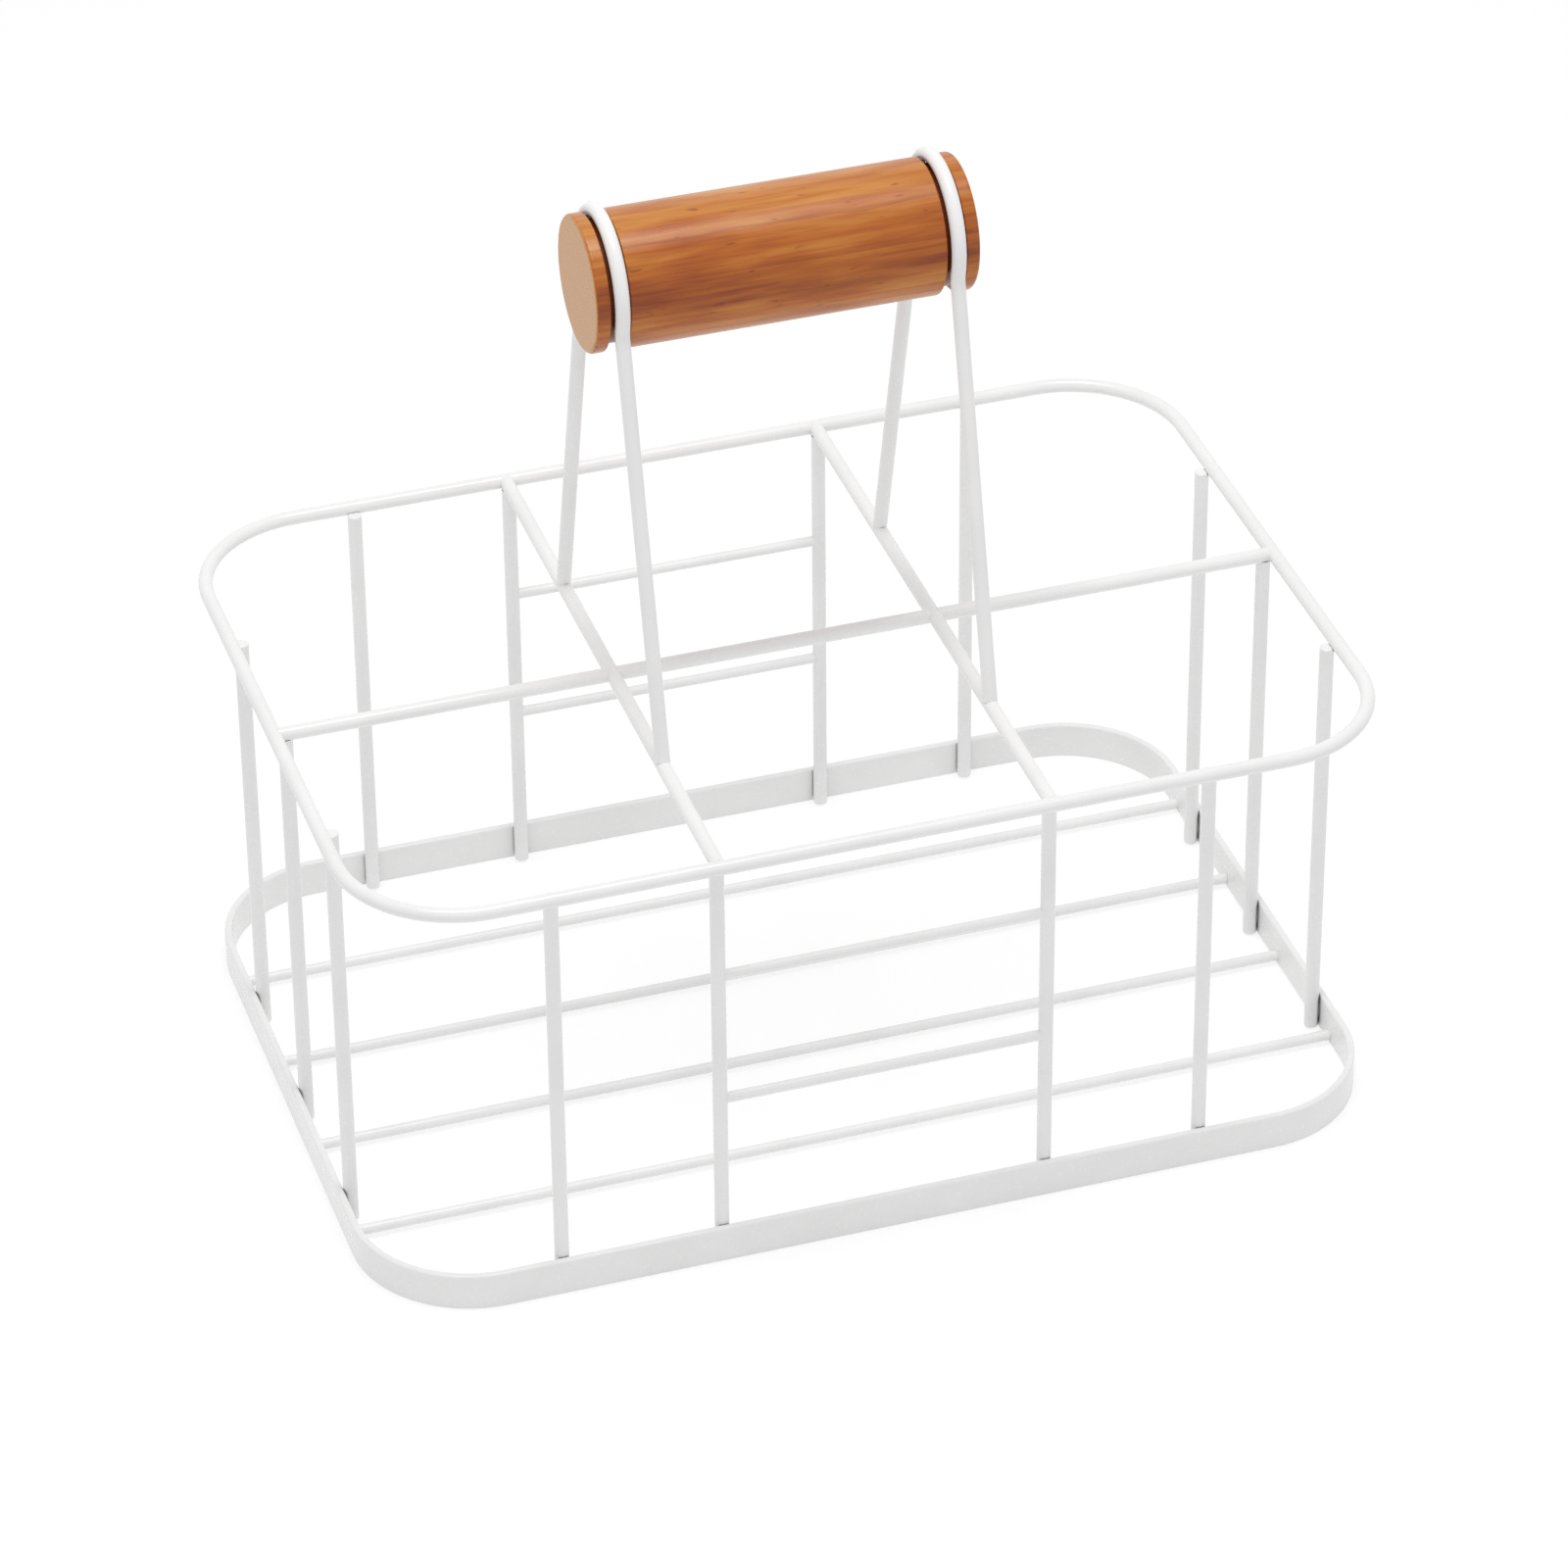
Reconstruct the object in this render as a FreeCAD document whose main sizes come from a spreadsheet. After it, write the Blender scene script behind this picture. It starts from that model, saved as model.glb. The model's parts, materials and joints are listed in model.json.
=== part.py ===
"""Six-bottle caddy of welded steel wire with a bamboo grip that rolls in its two handle loops.

Millimetres. X runs along the grip, Y from front to back, Z up.
The origin is the centre of the footprint on the table.
"""

import math
import os

import FreeCAD
import Part
import Sketcher

# Driving dimensions: alias, value, meaning
SIZES = (
    ("wire_diameter", 4.0, "rim, posts, dividers and handle loops"),
    ("thin_wire_diameter", 3.0, "floor wires and guard bars"),
    ("inside_length", 284.0, "between the inner faces of the end walls"),
    ("inside_depth", 200.0, "between the inner faces of the long walls"),
    ("inside_corner_radius", 32.0, "plan corner, on the inner face of the walls"),
    ("band_height", 11.0, "flat strip that the caddy stands on"),
    ("band_thickness", 2.0, "flat strip that the caddy stands on"),
    ("band_edge_round", 0.6, "rounding of the strip's long edges"),
    ("rim_height", 128.5, "table to the axis of the rim wire"),
    ("column_spacing", 92.0, "between the two cross wires, and between the two handle loops"),
    ("corner_post_inset", 51.0, "end wall to the outer post of a long wall"),
    ("end_post_inset", 52.0, "long wall to the outer post of an end wall"),
    ("post_foot_gap", 0.5, "post end above the table"),
    ("post_top_drop", 0.7, "free post end below the axis of the rim"),
    ("wire_end_round", 0.5, "rounding of a cut wire end"),
    ("weld_sink", 0.8, "how far a wire end is pressed onto the wire it is welded to"),
    ("layout_shift_x", -2.6, "posts of the long walls and handle, from the middle of the rings"),
    ("layout_shift_y", -4.1, "posts of the end walls and handle, from the middle of the rings"),
    ("floor_wire_pitch", 40.5, "between neighbouring floor wires"),
    ("floor_wire_height", 2.5, "table to the axis of the floor wires"),
    ("upper_guard_height", 92.0, "table to the axis of the upper guard bars"),
    ("lower_guard_height", 51.7, "table to the axis of the lower guard bars"),
    ("grip_rise", 122.9, "rim axis to grip axis"),
    ("grip_diameter", 37.0, "bamboo grip"),
    ("grip_end_length", 3.8, "end disc of the grip, outside the groove"),
    ("grip_end_round", 1.0, "rounding of the grip's end edges"),
    ("groove_depth", 2.0, "groove for a handle loop"),
    ("groove_left_gap", 1.0, "groove side to loop wire, left of the wire"),
    ("groove_right_gap", 0.4, "groove side to loop wire, right of the wire"),
    ("groove_edge_round", 0.3, "rounding of the groove's outer edges"),
    ("loop_clearance", 0.3, "groove floor to loop wire"),
    ("loop_hold_depth", 4.9, "grip axis down to where the loop wire leaves the groove"),
    ("loop_bend_radius", 8.0, "outward bend of the loop wire, on its axis"),
    ("loop_foot_spacing", 93.2, "between the feet of one handle loop"),
)

# Places and sizes that follow from the driving dimensions, as expressions
LONG_WALL_POST_Y = "(Sizes.inside_depth - Sizes.wire_diameter) / 2"
END_WALL_POST_X = "(Sizes.inside_length - Sizes.wire_diameter) / 2"
LAYOUT_X = "Sizes.layout_shift_x"
LAYOUT_Y = "Sizes.layout_shift_y"
COLUMN_X = "Sizes.column_spacing / 2"
LEFT_COLUMN_X = f"({LAYOUT_X} - {COLUMN_X})"
RIGHT_COLUMN_X = f"({LAYOUT_X} + {COLUMN_X})"
CORNER_POST_X = "(Sizes.inside_length / 2 - Sizes.corner_post_inset)"
END_POST_Y = "(Sizes.inside_depth / 2 - Sizes.end_post_inset)"
RIM_LENGTH = "(Sizes.inside_length + Sizes.band_thickness)"
RIM_DEPTH = "(Sizes.inside_depth + Sizes.band_thickness)"
POST_TO_RIM = "(Sizes.wire_diameter + Sizes.band_thickness) / 2"
DIVIDER_Z = "Sizes.rim_height"
BUTT_SHORT = "Sizes.wire_diameter / 4"
FREE_POST_TOP = "(Sizes.rim_height - Sizes.post_top_drop)"
CARRYING_POST_TOP = f"({DIVIDER_Z} - Sizes.wire_diameter / 2 + Sizes.weld_sink)"
GRIP_Z = "(Sizes.rim_height + Sizes.grip_rise)"
GROOVE_FLOOR = "(Sizes.grip_diameter / 2 - Sizes.groove_depth)"
LOOP_RADIUS = f"({GROOVE_FLOOR} + Sizes.loop_clearance + Sizes.wire_diameter / 2)"
LOOP_FOOT_Y = "Sizes.loop_foot_spacing / 2"
LOOP_FOOT_Z = DIVIDER_Z + " + Sizes.wire_diameter / 2 - Sizes.weld_sink"

# Tolerances: length for finding edges, volume for telling that a cut removed something
NEAR = 0.001
LEAST_CUT = 0.01

doc = FreeCAD.newDocument("BottleCaddy")


def make_sheet():
    """Spreadsheet with one driving dimension per row."""
    sheet = doc.addObject("Spreadsheet::Sheet", "Sizes")
    for row, (alias, value, meaning) in enumerate(SIZES, start=1):
        sheet.set(f"A{row}", meaning)
        sheet.set(f"B{row}", str(value))
        sheet.setAlias(f"B{row}", alias)
    doc.recompute()


def value(expression):
    """Number that an expression of the driving dimensions has now."""
    return float(doc.Sizes.evalExpression(expression))


def new_body(label):
    """Empty body whose label is the piece's name."""
    body = doc.addObject("PartDesign::Body", label)
    body.Label = label
    return body


def place(body, x="0", y="0", z="0"):
    """Bind the body's position to expressions."""
    for axis, expression in (("x", x), ("y", y), ("z", z)):
        body.setExpression(f"Placement.Base.{axis}", expression)


def origin_feature(body, role):
    """One of the body's own origin planes."""
    return next(feature for feature in body.Origin.OriginFeatures if feature.Role == role)


def new_sketch(body, name, role):
    """Sketch on one of the body's own origin planes."""
    sketch = body.newObject("Sketcher::SketchObject", name)
    sketch.AttachmentSupport = (origin_feature(body, role), [""])
    sketch.MapMode = "FlatFace"
    return sketch


def bind(sketch, name, kind, references, expression):
    """Add a dimension to the sketch and bind it to an expression."""
    index = sketch.addConstraint(Sketcher.Constraint(kind, *references, value(expression)))
    sketch.renameConstraint(index, name)
    sketch.setExpression(f"Constraints.{name}", expression)


def point(x, y):
    """Point in a sketch."""
    return FreeCAD.Vector(x, y, 0)


def add_circle(sketch, name, diameter, x=None, y=None):
    """Circle whose centre lies on the sketch's axes, or at the distances x and y along them."""
    centre = point(value(x or "0"), value(y or "0"))
    index = sketch.addGeometry(Part.Circle(centre, FreeCAD.Vector(0, 0, 1), value(diameter) / 2))
    bind(sketch, name + "_diameter", "Diameter", (index,), diameter)
    for axis, line, expression in (("X", -2, x), ("Y", -1, y)):
        if expression is None:
            sketch.addConstraint(Sketcher.Constraint("PointOnObject", index, 3, line))
        else:
            bind(sketch, name + "_" + axis.lower(), "Distance" + axis, (-1, 1, index, 3), expression)


def add_rounded_rectangle(sketch, name, length, depth, radius):
    """Rounded rectangle about the sketch's origin: four lines and four tangent arcs."""
    half_length = value(length) / 2
    half_depth = value(depth) / 2
    corner = value(radius)
    flat_x = half_length - corner
    flat_y = half_depth - corner
    lines = (
        Part.LineSegment(point(-flat_x, -half_depth), point(flat_x, -half_depth)),
        Part.LineSegment(point(half_length, -flat_y), point(half_length, flat_y)),
        Part.LineSegment(point(flat_x, half_depth), point(-flat_x, half_depth)),
        Part.LineSegment(point(-half_length, flat_y), point(-half_length, -flat_y)),
    )
    centres = (point(flat_x, -flat_y), point(flat_x, flat_y), point(-flat_x, flat_y), point(-flat_x, -flat_y))
    line_ids = []
    arc_ids = []
    for turn, (line, centre) in enumerate(zip(lines, centres)):
        start = math.radians(90 * turn - 90)
        circle = Part.Circle(centre, FreeCAD.Vector(0, 0, 1), corner)
        line_ids.append(sketch.addGeometry(line))
        arc_ids.append(sketch.addGeometry(Part.ArcOfCircle(circle, start, start + math.pi / 2)))
    front, right, back, left = line_ids
    for turn in range(4):
        sketch.addConstraint(Sketcher.Constraint("Tangent", line_ids[turn], 2, arc_ids[turn], 1))
        sketch.addConstraint(Sketcher.Constraint("Tangent", arc_ids[turn], 2, line_ids[(turn + 1) % 4], 1))
    for line in (front, back):
        sketch.addConstraint(Sketcher.Constraint("Horizontal", line))
    sketch.addConstraint(Sketcher.Constraint("Vertical", right))
    for arc in arc_ids[1:]:
        sketch.addConstraint(Sketcher.Constraint("Equal", arc_ids[0], arc))
    sketch.addConstraint(Sketcher.Constraint("Symmetric", front, 1, back, 1, -1, 1))
    bind(sketch, name + "_length", "DistanceX", (left, 1, right, 1), length)
    bind(sketch, name + "_depth", "DistanceY", (front, 1, back, 1), depth)
    bind(sketch, name + "_radius", "Radius", (arc_ids[0],), radius)


def pad_symmetric(body, sketch, length):
    """Pad the sketch by half the length to each side."""
    pad = body.newObject("PartDesign::Pad", body.Label + "_pad")
    pad.Profile = sketch
    pad.SideType = "Symmetric"
    pad.setExpression("Length", length)
    doc.recompute()


def cut_seat(body, name, role, x=None, y=None, needed=True):
    """Shape the body to a wire that runs square to an origin plane; a needed seat must remove something."""
    sketch = new_sketch(body, name, role)
    add_circle(sketch, "seat", "Sizes.wire_diameter", x, y)
    volume_before = body.Shape.Volume
    pocket = body.newObject("PartDesign::Pocket", name + "_cut")
    pocket.Profile = sketch
    pocket.SideType = "Symmetric"
    pocket.Type = "ThroughAll"
    doc.recompute()
    if needed and not body.Shape.Volume < volume_before - LEAST_CUT:
        raise RuntimeError(f"{pocket.Label} removed nothing")


def round_edges(body, name, radius, wanted):
    """Round the edges of the body's last feature that the test picks."""
    base = body.Tip
    edges = [f"Edge{number}" for number, edge in enumerate(base.Shape.Edges, start=1) if wanted(edge)]
    fillet = body.newObject("PartDesign::Fillet", name)
    fillet.Base = (base, edges)
    fillet.setExpression("Radius", radius)
    doc.recompute()


def is_ring(edge):
    """A whole circle."""
    return edge.isClosed() and isinstance(edge.Curve, Part.Circle)


def is_lower_ring(edge):
    """A whole circle at the lower end of an upright wire."""
    return is_ring(edge) and edge.CenterOfMass.z < value("Sizes.rim_height / 2")


def make_base_band():
    """Flat strip on edge, bent to a rounded rectangle."""
    body = new_body("base_band")
    sketch = new_sketch(body, "base_band_plan", "XY_Plane")
    add_rounded_rectangle(
        sketch,
        "inner",
        "Sizes.inside_length",
        "Sizes.inside_depth",
        "Sizes.inside_corner_radius",
    )
    add_rounded_rectangle(
        sketch,
        "outer",
        "Sizes.inside_length + 2 * Sizes.band_thickness",
        "Sizes.inside_depth + 2 * Sizes.band_thickness",
        "Sizes.inside_corner_radius + Sizes.band_thickness",
    )
    pad = body.newObject("PartDesign::Pad", "base_band_pad")
    pad.Profile = sketch
    pad.setExpression("Length", "Sizes.band_height")
    doc.recompute()

    def is_long_edge(edge):
        return edge.BoundBox.ZLength < NEAR

    round_edges(body, "base_band_rounding", "Sizes.band_edge_round", is_long_edge)


def make_top_rim():
    """Wire ring whose axis lies over the middle of the band's thickness."""
    body = new_body("top_rim")
    place(body, z="Sizes.rim_height")
    path = new_sketch(body, "top_rim_path", "XY_Plane")
    corner_radius = "Sizes.inside_corner_radius + Sizes.band_thickness / 2"
    add_rounded_rectangle(path, "axis", RIM_LENGTH, RIM_DEPTH, corner_radius)
    section = new_sketch(body, "top_rim_section", "YZ_Plane")
    add_circle(section, "wire", "Sizes.wire_diameter", x=f"{RIM_DEPTH} / 2")
    add_pipe(body, section, path)


def add_pipe(body, section, path):
    """Sweep the section along the path."""
    pipe = body.newObject("PartDesign::AdditivePipe", body.Label + "_pipe")
    pipe.Profile = section
    pipe.Spine = path
    doc.recompute()


def make_post(label, x, y, rim_plane, rim_reach, divider_plane=None):
    """Upright wire inside the band; its top is shaped to the rim and to a divider wire that it carries."""
    top = CARRYING_POST_TOP if divider_plane else FREE_POST_TOP
    body = new_body(label)
    place(body, x, y, "Sizes.post_foot_gap")
    section = new_sketch(body, label + "_section", "XY_Plane")
    add_circle(section, "wire", "Sizes.wire_diameter")
    pad = body.newObject("PartDesign::Pad", label + "_pad")
    pad.Profile = section
    pad.setExpression("Length", top + " - Sizes.post_foot_gap")
    doc.recompute()
    rounded = is_lower_ring if divider_plane else is_ring
    round_edges(body, label + "_end_rounding", "Sizes.wire_end_round", rounded)
    rim_z = "Sizes.rim_height - Sizes.post_foot_gap"
    cut_seat(body, label + "_rim_seat", rim_plane, rim_reach, rim_z, needed=False)
    if divider_plane:
        cut_seat(body, label + "_saddle", divider_plane, y=DIVIDER_Z + " - Sizes.post_foot_gap")


def make_posts():
    """The fourteen posts, numbered from left to right on the long walls, from front to back on the others."""
    long_wall = (
        (f"{LAYOUT_X} - {CORNER_POST_X}", None),
        (LEFT_COLUMN_X, "XZ_Plane"),
        (RIGHT_COLUMN_X, "XZ_Plane"),
        (f"{LAYOUT_X} + {CORNER_POST_X}", None),
    )
    for wall, sign in (("front", "-"), ("back", "")):
        for number, (x, divider_plane) in enumerate(long_wall, start=1):
            label = f"{wall}_upright_{number}"
            make_post(label, x, sign + LONG_WALL_POST_Y, "YZ_Plane", sign + POST_TO_RIM, divider_plane)
    end_wall = (
        (f"{LAYOUT_Y} - {END_POST_Y}", None),
        (LAYOUT_Y, "YZ_Plane"),
        (f"{LAYOUT_Y} + {END_POST_Y}", None),
    )
    for wall, sign in (("left", "-"), ("right", "")):
        for number, (y, divider_plane) in enumerate(end_wall, start=1):
            label = f"{wall}_upright_{number}"
            make_post(label, sign + END_WALL_POST_X, y, "XZ_Plane", sign + POST_TO_RIM, divider_plane)


def make_level_wire(label, role, diameter, length):
    """Straight wire along the normal of an origin plane, centred on the origin."""
    body = new_body(label)
    section = new_sketch(body, label + "_section", role)
    add_circle(section, "wire", diameter)
    pad_symmetric(body, section, length)
    return body


def make_floor_wires():
    """Four wires that carry the bottles, from end wall to end wall of the band."""
    for number, step in enumerate((-1.5, -0.5, 0.5, 1.5), start=1):
        body = make_level_wire(
            f"floor_wire_{number}", "YZ_Plane", "Sizes.thin_wire_diameter", "Sizes.inside_length"
        )
        place(body, y=f"{step} * Sizes.floor_wire_pitch", z="Sizes.floor_wire_height")


def make_dividers():
    """Wires level with the rim: two across, and three lengths on the centre line that butt against them."""
    cross_length = f"{RIM_DEPTH} - 2 * {BUTT_SHORT}"
    for label, x in (("left_cross_wire", LEFT_COLUMN_X), ("right_cross_wire", RIGHT_COLUMN_X)):
        cross = make_level_wire(label, "XZ_Plane", "Sizes.wire_diameter", cross_length)
        place(cross, x=x, z=DIVIDER_Z)
        for end, rim_y in (("front", f"-{RIM_DEPTH} / 2"), ("back", f"{RIM_DEPTH} / 2")):
            cut_seat(cross, f"{label}_{end}_rim_seat", "YZ_Plane", x=rim_y)
    met_wires = (f"-{RIM_LENGTH} / 2", LEFT_COLUMN_X, RIGHT_COLUMN_X, f"{RIM_LENGTH} / 2")
    for name, left, right in zip(("left", "middle", "right"), met_wires, met_wires[1:]):
        label = f"{name}_centre_wire"
        reach = f"({right} - ({left})) / 2"
        centre = make_level_wire(label, "YZ_Plane", "Sizes.wire_diameter", f"2 * ({reach} - {BUTT_SHORT})")
        place(centre, x=f"({left} + {right}) / 2", y=LAYOUT_Y, z=DIVIDER_Z)
        for end, seat_x in (("left", f"-{reach}"), ("right", reach)):
            cut_seat(centre, f"{label}_{end}_seat", "XZ_Plane", x=seat_x)


def make_guards():
    """Two bars in each long wall, their ends shaped to the two middle posts."""
    for wall, sign in (("front", "-"), ("back", "")):
        for level in ("upper", "lower"):
            label = f"{wall}_guard_{level}"
            body = make_level_wire(label, "YZ_Plane", "Sizes.thin_wire_diameter", "Sizes.column_spacing")
            place(body, x=LAYOUT_X, y=sign + LONG_WALL_POST_Y, z=f"Sizes.{level}_guard_height")
            for side, x in (("left", f"-{COLUMN_X}"), ("right", COLUMN_X)):
                cut_seat(body, f"{label}_{side}_saddle", "XY_Plane", x=x)


def loop_start_shape():
    """Leg, bend, hoop, bend and leg of a handle loop, as the path sketch's geometry."""
    foot = point(-value(LOOP_FOOT_Y), value(LOOP_FOOT_Z))
    hoop = value(LOOP_RADIUS)
    bend = value("Sizes.loop_bend_radius")
    hold_angle = math.asin(value("Sizes.loop_hold_depth") / hoop)
    axis = point(0, value(GRIP_Z))
    outward = point(-math.cos(hold_angle), -math.sin(hold_angle))
    bend_centre = axis + outward * (hoop + bend)
    to_foot = foot - bend_centre
    leg_length = math.sqrt(to_foot.Length ** 2 - bend ** 2)
    leg_angle = math.atan2(to_foot.y, to_foot.x) - math.atan2(bend, leg_length)
    leg_top = foot - point(math.cos(leg_angle), math.sin(leg_angle)) * leg_length
    leave_angle = math.atan2(leg_top.y - bend_centre.y, leg_top.x - bend_centre.x)

    def mirrored(vector):
        return point(-vector.x, vector.y)

    def arc(centre, radius, start, end):
        return Part.ArcOfCircle(Part.Circle(centre, FreeCAD.Vector(0, 0, 1), radius), start, end)

    return (
        Part.LineSegment(foot, leg_top),
        arc(bend_centre, bend, leave_angle, hold_angle),
        arc(axis, hoop, -hold_angle, math.pi + hold_angle),
        arc(mirrored(bend_centre), bend, math.pi - hold_angle, math.pi - leave_angle),
        Part.LineSegment(mirrored(leg_top), mirrored(foot)),
    )


def make_handle_loop(label, x):
    """Bent wire that stands on a cross wire, goes over the grip and pinches it below its middle."""
    body = new_body(label)
    place(body, x=x, y=LAYOUT_Y)
    path = new_sketch(body, label + "_path", "YZ_Plane")
    pieces = [path.addGeometry(shape) for shape in loop_start_shape()]
    front_leg, front_bend, hoop, back_bend, back_leg = pieces
    for first, first_end, second, second_end in (
        (front_leg, 2, front_bend, 1),
        (front_bend, 2, hoop, 2),
        (hoop, 1, back_bend, 1),
        (back_bend, 2, back_leg, 1),
    ):
        path.addConstraint(Sketcher.Constraint("Tangent", first, first_end, second, second_end))
    path.addConstraint(Sketcher.Constraint("PointOnObject", hoop, 3, -2))
    path.addConstraint(Sketcher.Constraint("Equal", front_bend, back_bend))
    bind(path, "axis_height", "DistanceY", (-1, 1, hoop, 3), GRIP_Z)
    bind(path, "hoop_radius", "Radius", (hoop,), LOOP_RADIUS)
    bind(path, "bend_radius", "Radius", (front_bend,), "Sizes.loop_bend_radius")
    bind(path, "front_hold", "DistanceY", (hoop, 2, hoop, 3), "Sizes.loop_hold_depth")
    bind(path, "back_hold", "DistanceY", (hoop, 1, hoop, 3), "Sizes.loop_hold_depth")
    bind(path, "front_foot_height", "DistanceY", (-1, 1, front_leg, 1), LOOP_FOOT_Z)
    bind(path, "back_foot_height", "DistanceY", (-1, 1, back_leg, 2), LOOP_FOOT_Z)
    bind(path, "front_foot_reach", "DistanceX", (front_leg, 1, -1, 1), LOOP_FOOT_Y)
    bind(path, "back_foot_reach", "DistanceX", (-1, 1, back_leg, 2), LOOP_FOOT_Y)
    section = new_sketch(body, label + "_section", "XZ_Plane")
    add_circle(section, "wire", "Sizes.wire_diameter", y=f"{GRIP_Z} + {LOOP_RADIUS}")
    add_pipe(body, section, path)
    cut_seat(body, label + "_saddle", "XZ_Plane", y=DIVIDER_Z)


def add_rectangle(sketch, name, left, right, low, high):
    """Upright rectangle between distances along the sketch's axes, all on the positive side."""
    corners = (
        point(value(left), value(low)),
        point(value(right), value(low)),
        point(value(right), value(high)),
        point(value(left), value(high)),
    )
    sides = []
    for number, corner in enumerate(corners):
        sides.append(sketch.addGeometry(Part.LineSegment(corner, corners[(number + 1) % 4])))
    for number, side in enumerate(sides):
        sketch.addConstraint(Sketcher.Constraint("Coincident", side, 2, sides[(number + 1) % 4], 1))
        sketch.addConstraint(Sketcher.Constraint(("Horizontal", "Vertical")[number % 2], side))
    lower, _, upper, _ = sides
    bind(sketch, name + "_left", "DistanceX", (-1, 1, lower, 1), left)
    bind(sketch, name + "_low", "DistanceY", (-1, 1, lower, 1), low)
    bind(sketch, name + "_right", "DistanceX", (-1, 1, upper, 1), right)
    bind(sketch, name + "_high", "DistanceY", (-1, 1, upper, 1), high)


def make_grip():
    """Turned bamboo cylinder with a groove for each handle loop."""
    groove_width = "(Sizes.wire_diameter + Sizes.groove_left_gap + Sizes.groove_right_gap)"
    near_side = f"{COLUMN_X} - {groove_width} / 2"
    far_side = f"{COLUMN_X} + {groove_width} / 2"
    length = f"Sizes.column_spacing + {groove_width} + 2 * Sizes.grip_end_length"
    body = make_level_wire("bamboo_grip", "YZ_Plane", "Sizes.grip_diameter", length)
    groove_shift = "(Sizes.groove_right_gap - Sizes.groove_left_gap) / 2"
    place(body, x=f"{LAYOUT_X} + {groove_shift}", y=LAYOUT_Y, z=GRIP_Z)
    volume_before = body.Shape.Volume
    sketch = new_sketch(body, "bamboo_grip_groove_section", "XZ_Plane")
    add_rectangle(sketch, "groove", near_side, far_side, GROOVE_FLOOR, "Sizes.grip_diameter")
    groove = body.newObject("PartDesign::Groove", "bamboo_grip_groove")
    groove.Profile = sketch
    groove.ReferenceAxis = (sketch, ["H_Axis"])
    groove.Angle = 360
    doc.recompute()
    mirror = body.newObject("PartDesign::Mirrored", "bamboo_grip_other_groove")
    mirror.Originals = [groove]
    mirror.MirrorPlane = (origin_feature(body, "YZ_Plane"), [""])
    body.Tip = mirror
    doc.recompute()
    if not body.Shape.Volume < volume_before - LEAST_CUT:
        raise RuntimeError("the grip has no grooves")
    grip_end = body.Shape.BoundBox.XMax - body.Placement.Base.x

    def is_end_ring(edge):
        return is_ring(edge) and abs(abs(edge.CenterOfMass.x) - grip_end) < NEAR

    def is_groove_mouth(edge):
        on_outside = is_ring(edge) and edge.Curve.Radius > value("Sizes.grip_diameter / 2") - NEAR
        return on_outside and not is_end_ring(edge)

    round_edges(body, "bamboo_grip_groove_rounding", "Sizes.groove_edge_round", is_groove_mouth)
    round_edges(body, "bamboo_grip_end_rounding", "Sizes.grip_end_round", is_end_ring)


def build():
    """Make every piece of the caddy."""
    make_sheet()
    make_base_band()
    make_top_rim()
    make_posts()
    make_floor_wires()
    make_dividers()
    make_guards()
    make_handle_loop("left_handle_loop", LEFT_COLUMN_X)
    make_handle_loop("right_handle_loop", RIGHT_COLUMN_X)
    make_grip()


def check():
    """Stop if any object failed or any piece is empty or broken."""
    doc.recompute()
    for item in doc.Objects:
        if "Invalid" in item.State or "Error" in item.State:
            raise RuntimeError(f"{item.Label} did not build: {item.State}")
        if item.isDerivedFrom("PartDesign::Body"):
            if item.Shape.isNull() or not item.Shape.isValid() or len(item.Shape.Solids) != 1:
                raise RuntimeError(f"{item.Label} is not one sound solid")


def export():
    """Write one STEP file per piece."""
    os.makedirs("parts", exist_ok=True)
    for item in doc.Objects:
        if item.isDerivedFrom("PartDesign::Body"):
            item.Shape.exportStep(f"parts/{item.Label}.step")


build()
check()
export()
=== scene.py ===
"""Looks of the bottle caddy: white powder coat, turned bamboo, the photograph's camera and studio."""

import json
import math

import bmesh
import bpy
from mathutils import Matrix, Vector
from mathutils import noise as solid_noise


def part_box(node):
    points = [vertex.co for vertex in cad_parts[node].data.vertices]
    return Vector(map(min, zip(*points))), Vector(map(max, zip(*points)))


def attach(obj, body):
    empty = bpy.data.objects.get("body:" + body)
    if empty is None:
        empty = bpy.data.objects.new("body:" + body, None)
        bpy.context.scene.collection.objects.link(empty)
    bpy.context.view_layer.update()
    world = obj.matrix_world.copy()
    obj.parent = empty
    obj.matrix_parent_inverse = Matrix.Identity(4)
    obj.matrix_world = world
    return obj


MM = 0.001
ALONG = Vector((1.0, 0.0, 0.0))
ACROSS = Vector((0.0, 1.0, 0.0))
UP = Vector((0.0, 0.0, 1.0))

# Camera, fitted to the photograph
PHOTO_PIXELS = 1600
FOCAL_PIXELS = 7042.86
SENSOR_MM = 36.0
EYE_MM = Vector((-476.35, -1507.37, 1154.35))
VIEW_AZIMUTH = math.radians(17.576)
VIEW_DROP = math.radians(34.217)
VIEW_ROLL = math.radians(-0.547)

# Studio: a soft box overhead and even fill from all round, in metres and watts
SOFT_BOX_PLACE = Vector((-0.03, -0.05, 1.55))
SOFT_BOX_LENGTH = 0.8
SOFT_BOX_WIDTH = 0.5
SOFT_BOX_WATTS = 8.0
FILL_STRENGTH = 0.635
FLOOR_SIZE = 8.0
FLOOR_BOUNCE = 0.97
FLOOR_SHADE = 0.27
FLOOR_GLOW = 0.765

# Powder coat: tones and roughness from one end of its noise to the other
COAT_LOW_TONE = (0.905, 0.905, 0.903, 1.0)
COAT_HIGH_TONE = (0.94, 0.94, 0.938, 1.0)
COAT_ROUGHNESS = (0.2, 0.28)
COAT_NOISE_RANGE = (0.3, 0.7)
CLOUD_SCALE = 45.0
PEEL_SCALE = 900.0
PEEL_STRENGTH = 0.12
PEEL_HEIGHT = 0.1 * MM

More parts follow.
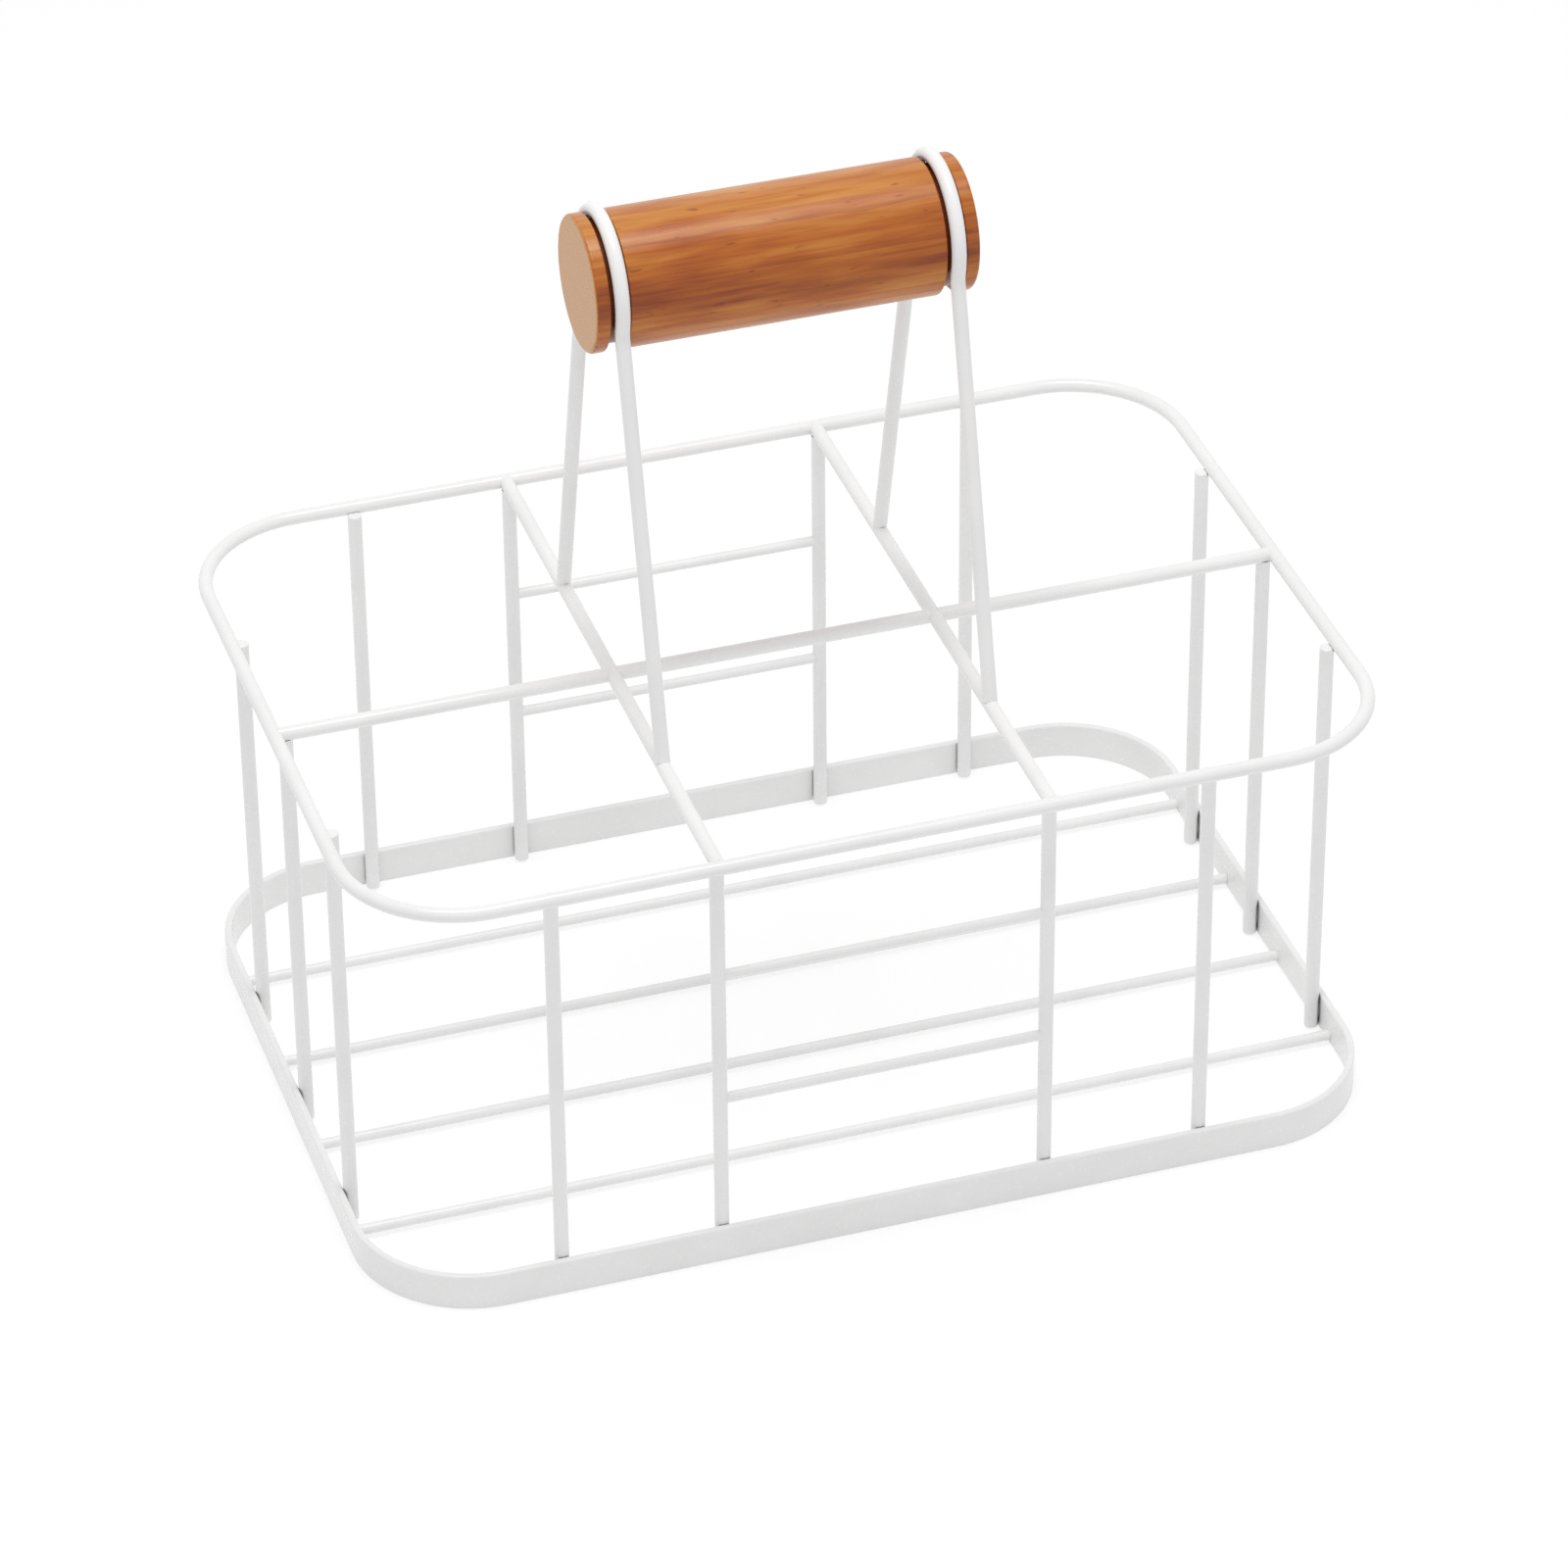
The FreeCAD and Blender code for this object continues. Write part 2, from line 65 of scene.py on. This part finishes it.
# Painted shade: ambient occlusion paints gaps narrower than this dark, the more so the less they are open
SHADE_GAP = 2.2 * MM
SHADE_OPENNESS = (0.3, 0.6)
SHADE_SHARE = 0.65
PAINTED_SHADE_TONE = 0.14
GAP_SAMPLES = 16

# Bamboo grip: plies glued one over another, from the lowest to the highest, and how light each one is
PLY_THICKNESS = 8.6 * MM
PLY_START = -18.4 * MM
PLY_SHADES = (0.58, 0.5, 0.26, 0.48, 0.64)

# Bamboo grain: changes along the grip and across it, in turns per metre, and detail
WANDER_GRAIN = (22.0, 90.0, 2.0)
WANDER = 2.6 * MM
FINE_GRAIN = (30.0, 1500.0, 3.0)
SMEAR_GRAIN = (30.0, 200.0, 3.0)
STREAK_GRAIN = (50.0, 620.0, 2.0)
FLECK_GRAIN = (170.0, 620.0, 1.0)
SMEAR_WEIGHT = 0.95
STREAK_WEIGHT = 0.6
FINE_WEIGHT = 0.3
FINE_RANGE = (0.25, 0.75)
FLECK_RANGE = (0.69, 0.78)
FLECK_SHARE = 0.55
GLUE_LINE_WIDTH = 0.09
GLUE_LINE_SHARE = 0.3
END_GLUE_LINE_SHARE = 0.35
END_EDGE = (0.35 * MM, 0.1 * MM)
# Depth over which the grooves' painted shade fades in
GROOVE_EDGE = (1.1 * MM, 0.3 * MM)

# Bamboo colours and lacquer
WOOD_TONES = (
    (0.1, (0.27, 0.046, 0.004, 1.0)),
    (0.46, (0.46, 0.118, 0.009, 1.0)),
    (0.9, (0.64, 0.27, 0.05, 1.0)),
)
# Dark wood of the glue lines and flecks, also used as painted shade in the grooves
DARK_WOOD_AND_GROOVE_SHADE = (0.19, 0.036, 0.005, 1.0)
END_GRAIN_TONES = ((0.25, (0.52, 0.23, 0.055, 1.0)), (0.75, (0.7, 0.34, 0.09, 1.0)))
LACQUER_ROUGHNESS = (0.24, 0.36)
LACQUER_SHINE = 0.42
GRAIN_STRENGTH = 0.1
GRAIN_HEIGHT = 0.15 * MM

# Weld beads: half sizes along the joint, across it and through it
RIM_BEAD = Vector((0.9, 0.6, 0.4)) * MM
RIM_BEAD_DROP = 1.3 * MM
BAND_BEAD = Vector((0.9, 3.2, 0.5)) * MM
LOOP_FOOT_BEAD = Vector((1.1, 1.5, 0.4)) * MM
BUTT_BEAD_GROWTH = 0.12 * MM
BUTT_BEAD_DEPTH = 0.5 * MM
BEAD_DETAIL = 3
BEAD_LUMP = 0.16
BEAD_LUMP_SCALE = 1.3

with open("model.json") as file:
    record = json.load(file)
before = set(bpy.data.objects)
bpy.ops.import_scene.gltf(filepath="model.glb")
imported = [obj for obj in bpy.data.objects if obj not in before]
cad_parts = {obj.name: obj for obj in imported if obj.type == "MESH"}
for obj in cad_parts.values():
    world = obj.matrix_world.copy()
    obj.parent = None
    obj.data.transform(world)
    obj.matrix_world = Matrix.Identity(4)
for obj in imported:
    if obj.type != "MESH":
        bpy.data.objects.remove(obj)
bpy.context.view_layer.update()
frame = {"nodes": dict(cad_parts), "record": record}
nodes = frame["nodes"]


def new_material(name):
    """Material with an empty node tree, a surface shader and an output."""
    material = bpy.data.materials.new(name)
    material.use_nodes = True
    tree = material.node_tree
    tree.nodes.clear()
    output = tree.nodes.new("ShaderNodeOutputMaterial")
    shader = tree.nodes.new("ShaderNodeBsdfPrincipled")
    tree.links.new(shader.outputs["BSDF"], output.inputs["Surface"])
    return material, tree, shader


def plug(tree, target, value):
    """Set a socket to a number or colour, or link another node's output to it."""
    if isinstance(value, bpy.types.NodeSocket):
        tree.links.new(value, target)
    else:
        target.default_value = value


def noise(tree, vector, scale, detail):
    """Noise texture's value."""
    node = tree.nodes.new("ShaderNodeTexNoise")
    tree.links.new(vector, node.inputs["Vector"])
    node.inputs["Scale"].default_value = scale
    node.inputs["Detail"].default_value = detail
    return node.outputs["Fac"]


def math_node(tree, operation, first, second=0.0, clamp=False):
    """Result of a sum on one or two values."""
    node = tree.nodes.new("ShaderNodeMath")
    node.operation = operation
    node.use_clamp = clamp
    plug(tree, node.inputs[0], first)
    plug(tree, node.inputs[1], second)
    return node.outputs["Value"]


def vector_math(tree, operation, first, second):
    """Result of a sum on two vectors."""
    node = tree.nodes.new("ShaderNodeVectorMath")
    node.operation = operation
    plug(tree, node.inputs[0], first)
    plug(tree, node.inputs[1], second)
    return node.outputs["Vector"]


def vector_length(tree, vector):
    """Length of a vector."""
    node = tree.nodes.new("ShaderNodeVectorMath")
    node.operation = "LENGTH"
    tree.links.new(vector, node.inputs[0])
    return node.outputs["Value"]


def spread(tree, value, from_low, from_high, to_low, to_high):
    """Value moved smoothly from one range to another."""
    node = tree.nodes.new("ShaderNodeMapRange")
    node.interpolation_type = "SMOOTHSTEP"
    plug(tree, node.inputs["Value"], value)
    node.inputs["From Min"].default_value = from_low
    node.inputs["From Max"].default_value = from_high
    node.inputs["To Min"].default_value = to_low
    node.inputs["To Max"].default_value = to_high
    return node.outputs["Result"]


def mix_colour(tree, factor, first, second):
    """Two colours mixed by a factor."""
    node = tree.nodes.new("ShaderNodeMix")
    node.data_type = "RGBA"
    plug(tree, node.inputs["Factor"], factor)
    plug(tree, node.inputs["A"], first)
    plug(tree, node.inputs["B"], second)
    return node.outputs["Result"]


def add_bump(tree, shader, height, strength, distance):
    """Bump from a height value."""
    node = tree.nodes.new("ShaderNodeBump")
    node.inputs["Strength"].default_value = strength
    node.inputs["Distance"].default_value = distance
    tree.links.new(height, node.inputs["Height"])
    tree.links.new(node.outputs["Normal"], shader.inputs["Normal"])


def make_powder_coat():
    """Smooth white powder coat: a faint orange peel, small changes of tone and gloss, and painted shade in
    narrow gaps.
    """
    material, tree, shader = new_material("white_powder_coat")
    place = tree.nodes.new("ShaderNodeTexCoord").outputs["Object"]
    cloud = noise(tree, place, CLOUD_SCALE, detail=3.0)
    peel = noise(tree, place, PEEL_SCALE, detail=2.0)
    light = spread(tree, cloud, *COAT_NOISE_RANGE, 0.0, 1.0)
    colour = mix_colour(tree, light, COAT_LOW_TONE, COAT_HIGH_TONE)
    # Painted shade: ambient occlusion darkens the coat's colour in narrow gaps, but not next to the floor
    gap = tree.nodes.new("ShaderNodeAmbientOcclusion")
    gap.samples = GAP_SAMPLES
    gap.inputs["Distance"].default_value = SHADE_GAP
    painted_shade = spread(tree, gap.outputs["AO"], *SHADE_OPENNESS, SHADE_SHARE, 0.0)
    parts = tree.nodes.new("ShaderNodeSeparateXYZ")
    tree.links.new(place, parts.inputs["Vector"])
    off_floor = spread(tree, parts.outputs["Z"], SHADE_GAP / 2, SHADE_GAP, 0.0, 1.0)
    painted_shade = math_node(tree, "MULTIPLY", painted_shade, off_floor)
    tree.links.new(mix_colour(tree, painted_shade, colour, grey(PAINTED_SHADE_TONE)), shader.inputs["Base Color"])
    tree.links.new(spread(tree, peel, *COAT_NOISE_RANGE, *COAT_ROUGHNESS), shader.inputs["Roughness"])
    add_bump(tree, shader, peel, PEEL_STRENGTH, PEEL_HEIGHT)
    return material


def grey(shade):
    """Colour with the same value in each channel."""
    return (shade, shade, shade, 1.0)


def colour_ramp(tree, value, stops, interpolation="LINEAR"):
    """Colour picked from a list of positions and colours."""
    node = tree.nodes.new("ShaderNodeValToRGB")
    ramp = node.color_ramp
    ramp.interpolation = interpolation
    while len(ramp.elements) < len(stops):
        ramp.elements.new(1.0)
    for element, (position, colour) in zip(ramp.elements, stops):
        element.position = position
        element.color = colour
    tree.links.new(value, node.inputs["Fac"])
    return node.outputs["Color"]


def make_bamboo():
    """Carbonised bamboo glued from plies and turned: streaks and flecks under a satin lacquer."""
    material, tree, shader = new_material("carbonised_bamboo")
    low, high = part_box("bamboo_grip")
    coordinates = tree.nodes.new("ShaderNodeTexCoord")
    place = vector_math(tree, "SUBTRACT", coordinates.outputs["Object"], (low + high) / 2)
    parts = tree.nodes.new("ShaderNodeSeparateXYZ")
    tree.links.new(place, parts.inputs["Vector"])

    def stretched(along, across, detail):
        return noise(tree, vector_math(tree, "MULTIPLY", place, (along, across, across)), 1.0, detail)

    wander = math_node(tree, "MULTIPLY", stretched(*WANDER_GRAIN), WANDER)
    height = math_node(tree, "SUBTRACT", math_node(tree, "ADD", parts.outputs["Z"], wander), PLY_START)
    level = math_node(tree, "DIVIDE", height, PLY_THICKNESS)
    plies = [((number + 0.5) / len(PLY_SHADES), grey(shade)) for number, shade in enumerate(PLY_SHADES)]
    tone = colour_ramp(tree, math_node(tree, "DIVIDE", level, len(PLY_SHADES)), plies, "EASE")

    fine = stretched(*FINE_GRAIN)
    smears = stretched(*SMEAR_GRAIN)
    streaks = stretched(*STREAK_GRAIN)
    for grain, weight in ((smears, SMEAR_WEIGHT), (streaks, STREAK_WEIGHT), (fine, FINE_WEIGHT)):
        change = math_node(tree, "MULTIPLY", math_node(tree, "SUBTRACT", grain, 0.5), weight)
        tone = math_node(tree, "ADD", tone, change)
    wood = colour_ramp(tree, tone, WOOD_TONES)

    glue_line = spread(tree, math_node(tree, "FRACT", level), 0.0, GLUE_LINE_WIDTH, GLUE_LINE_SHARE, 0.0)
    flecks = spread(tree, stretched(*FLECK_GRAIN), *FLECK_RANGE, 0.0, FLECK_SHARE)
    colour = mix_colour(tree, glue_line, wood, DARK_WOOD_AND_GROOVE_SHADE)
    colour = mix_colour(tree, flecks, colour, DARK_WOOD_AND_GROOVE_SHADE)
    # Painted shade: the grooves' walls and floor take the dark wood colour
    colour = mix_colour(tree, groove_shade(tree, place, parts), colour, DARK_WOOD_AND_GROOVE_SHADE)
    end_line = math_node(tree, "MULTIPLY", glue_line, END_GLUE_LINE_SHARE)
    end_grain = mix_colour(tree, end_line, colour_ramp(tree, fine, END_GRAIN_TONES), DARK_WOOD_AND_GROOVE_SHADE)
    distance = math_node(tree, "ABSOLUTE", parts.outputs["X"])
    half_length = (high.x - low.x) / 2
    on_end = spread(tree, distance, half_length - END_EDGE[0], half_length - END_EDGE[1], 0.0, 1.0)
    tree.links.new(mix_colour(tree, on_end, colour, end_grain), shader.inputs["Base Color"])
    tree.links.new(spread(tree, fine, *FINE_RANGE, *LACQUER_ROUGHNESS), shader.inputs["Roughness"])
    shader.inputs["Specular IOR Level"].default_value = LACQUER_SHINE
    add_bump(tree, shader, fine, GRAIN_STRENGTH, GRAIN_HEIGHT)
    return material


def groove_shade(tree, place, parts):
    """Painted shade: 1 on the walls and floor of the grip's two grooves, which are painted dark, 0 on its
    lacquered outside and ends.
    """
    low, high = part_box("bamboo_grip")
    radius = (high.z - low.z) / 2
    half_length = (high.x - low.x) / 2
    disc = high.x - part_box("right_handle_loop")[1].x
    depth = vector_length(tree, vector_math(tree, "MULTIPLY", place, (0.0, 1.0, 1.0)))
    sunk = spread(tree, depth, radius - GROOVE_EDGE[0], radius - GROOVE_EDGE[1], 1.0, 0.0)
    distance = math_node(tree, "ABSOLUTE", parts.outputs["X"])
    between = spread(tree, distance, half_length - disc / 2, half_length - disc / 3, 1.0, 0.0)
    return math_node(tree, "MULTIPLY", sunk, between)


def dress_nodes():
    """Give every CAD piece its finish."""
    finishes = {"white_coated_steel": make_powder_coat(), "bamboo": make_bamboo()}
    for part in frame["record"]["subparts"]:
        for place in nodes[part["node"]].material_slots:
            place.material = finishes[part["material_slot"]]
    return finishes


def add_bead(mesh, place, through, along, half_sizes):
    """One lump of weld, with half sizes along the joint, across it and through it."""
    turn = Matrix((along, through.cross(along), through)).transposed()
    lump = bmesh.ops.create_icosphere(mesh, subdivisions=BEAD_DETAIL, radius=1.0)
    for vertex in lump["verts"]:
        growth = 1.0 + BEAD_LUMP * solid_noise.noise(vertex.co * BEAD_LUMP_SCALE + place / MM)
        vertex.co = place + turn @ (vertex.co * half_sizes * growth)


def add_butt_bead(mesh, place, through, radius):
    """Collar of weld round the end of a wire."""
    half_width = radius + BUTT_BEAD_GROWTH
    along = through.orthogonal().normalized()
    add_bead(mesh, place, through, along, Vector((half_width, half_width, BUTT_BEAD_DEPTH)))


def add_post_beads(mesh, rim_z, band_z):
    """Welds of each post to the band and to the rim."""
    walls = {"front": (0, -1), "back": (0, 1), "left": (-1, 0), "right": (1, 0)}
    for name in nodes:
        if "_upright_" in name:
            low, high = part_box(name)
            middle = (low + high) / 2
            wall = Vector((*walls[name.split("_")[0]], 0.0))
            along = wall.cross(UP)
            seat = middle + wall * (high.x - low.x) / 2
            add_bead(mesh, Vector((seat.x, seat.y, band_z)), wall, along, BAND_BEAD)
            add_bead(mesh, Vector((seat.x, seat.y, rim_z - RIM_BEAD_DROP)), wall, along, RIM_BEAD)


def add_wire_end_beads(mesh):
    """Welds at both ends of the level wires: floor wires, guard bars, centre wires and cross wires."""
    for name in nodes:
        if name.startswith("floor_wire") or "_guard_" in name or name.endswith("_centre_wire"):
            low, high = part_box(name)
            middle = (low + high) / 2
            for end in (low, high):
                add_butt_bead(mesh, Vector((end.x, middle.y, middle.z)), ALONG, (high.z - low.z) / 2)
        if name.endswith("_cross_wire"):
            low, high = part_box(name)
            middle = (low + high) / 2
            for end in (low, high):
                add_butt_bead(mesh, Vector((middle.x, end.y, middle.z)), ACROSS, (high.z - low.z) / 2)


def add_loop_foot_beads(mesh):
    """Welds of the handle loops' feet to the cross wires."""
    for side in ("left", "right"):
        cross_low, cross_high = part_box(side + "_cross_wire")
        loop_low, loop_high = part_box(side + "_handle_loop")
        radius = (cross_high.z - cross_low.z) / 2
        x = (cross_low.x + cross_high.x) / 2
        for y in (loop_low.y + radius, loop_high.y - radius):
            add_bead(mesh, Vector((x, y, cross_high.z - LOOP_FOOT_BEAD.z)), UP, ALONG, LOOP_FOOT_BEAD)


def make_weld_beads(finish):
    """The welds that hold the wires together, under the same coat as the wires."""
    mesh = bmesh.new()
    rim_low, rim_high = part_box("top_rim")
    band_low, band_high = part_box("base_band")
    rim_z = (rim_low.z + rim_high.z) / 2
    add_post_beads(mesh, rim_z, (band_low.z + band_high.z) / 2)
    add_wire_end_beads(mesh)
    add_loop_foot_beads(mesh)
    for face in mesh.faces:
        face.smooth = True
    data = bpy.data.meshes.new("weld_beads")
    mesh.to_mesh(data)
    mesh.free()
    data.materials.append(finish)
    beads = bpy.data.objects.new("weld_beads", data)
    bpy.context.collection.objects.link(beads)
    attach(beads, "frame")


def white_to_eye(tree):
    """1 for rays from the camera and for what shines or lets light through, 0 for light on the object."""
    path = tree.nodes.new("ShaderNodeLightPath")
    seen = math_node(tree, "ADD", path.outputs["Is Camera Ray"], path.outputs["Is Glossy Ray"])
    return math_node(tree, "ADD", seen, path.outputs["Is Transmission Ray"], clamp=True)


def make_floor():
    """Pale floor that keeps the object's shadow and shows as white."""
    bpy.ops.mesh.primitive_plane_add(size=FLOOR_SIZE, location=(0.0, 0.0, 0.0))
    floor = bpy.context.object
    floor.name = "floor"
    material, tree, shader = new_material("pale_floor")
    shader.inputs["Roughness"].default_value = 1.0
    shader.inputs["Specular IOR Level"].default_value = 0.0
    seen = white_to_eye(tree)
    tree.links.new(mix_colour(tree, seen, grey(FLOOR_BOUNCE), grey(FLOOR_SHADE)), shader.inputs["Base Color"])
    shader.inputs["Emission Color"].default_value = grey(1.0)
    tree.links.new(math_node(tree, "MULTIPLY", seen, FLOOR_GLOW), shader.inputs["Emission Strength"])
    floor.data.materials.append(material)


def make_world():
    """Even fill light that shows as white behind the object."""
    world = bpy.data.worlds.new("studio")
    bpy.context.scene.world = world
    world.use_nodes = True
    tree = world.node_tree
    background = tree.nodes["Background"]
    background.inputs["Color"].default_value = grey(1.0)
    strength = spread(tree, white_to_eye(tree), 0.0, 1.0, FILL_STRENGTH, 1.0)
    tree.links.new(strength, background.inputs["Strength"])


def make_soft_box():
    """Lamp overhead, in line with the grip."""
    lamp = bpy.data.lights.new("soft_box", "AREA")
    lamp.shape = "RECTANGLE"
    lamp.size = SOFT_BOX_LENGTH
    lamp.size_y = SOFT_BOX_WIDTH
    lamp.energy = SOFT_BOX_WATTS
    lamp_object = bpy.data.objects.new("soft_box", lamp)
    lamp_object.location = SOFT_BOX_PLACE
    bpy.context.collection.objects.link(lamp_object)


def make_camera():
    """Camera where the photograph was taken from."""
    level = math.cos(VIEW_DROP)
    forward = Vector((math.sin(VIEW_AZIMUTH) * level, math.cos(VIEW_AZIMUTH) * level, -math.sin(VIEW_DROP)))
    flat_right = forward.cross(UP).normalized()
    flat_up = flat_right.cross(forward)
    right = flat_right * math.cos(VIEW_ROLL) + flat_up * math.sin(VIEW_ROLL)
    up = flat_up * math.cos(VIEW_ROLL) - flat_right * math.sin(VIEW_ROLL)
    camera = bpy.data.cameras.new("camera")
    camera.sensor_width = SENSOR_MM
    camera.lens = SENSOR_MM * FOCAL_PIXELS / PHOTO_PIXELS
    camera_object = bpy.data.objects.new("camera", camera)
    turn = Matrix((right, up, -forward)).transposed().to_4x4()
    camera_object.matrix_world = Matrix.Translation(EYE_MM * MM) @ turn
    bpy.context.collection.objects.link(camera_object)
    bpy.context.scene.camera = camera_object


finishes = dress_nodes()
make_weld_beads(finishes["white_coated_steel"])
make_floor()
make_world()
make_soft_box()
make_camera()
bpy.context.scene.view_settings.view_transform = "Standard"
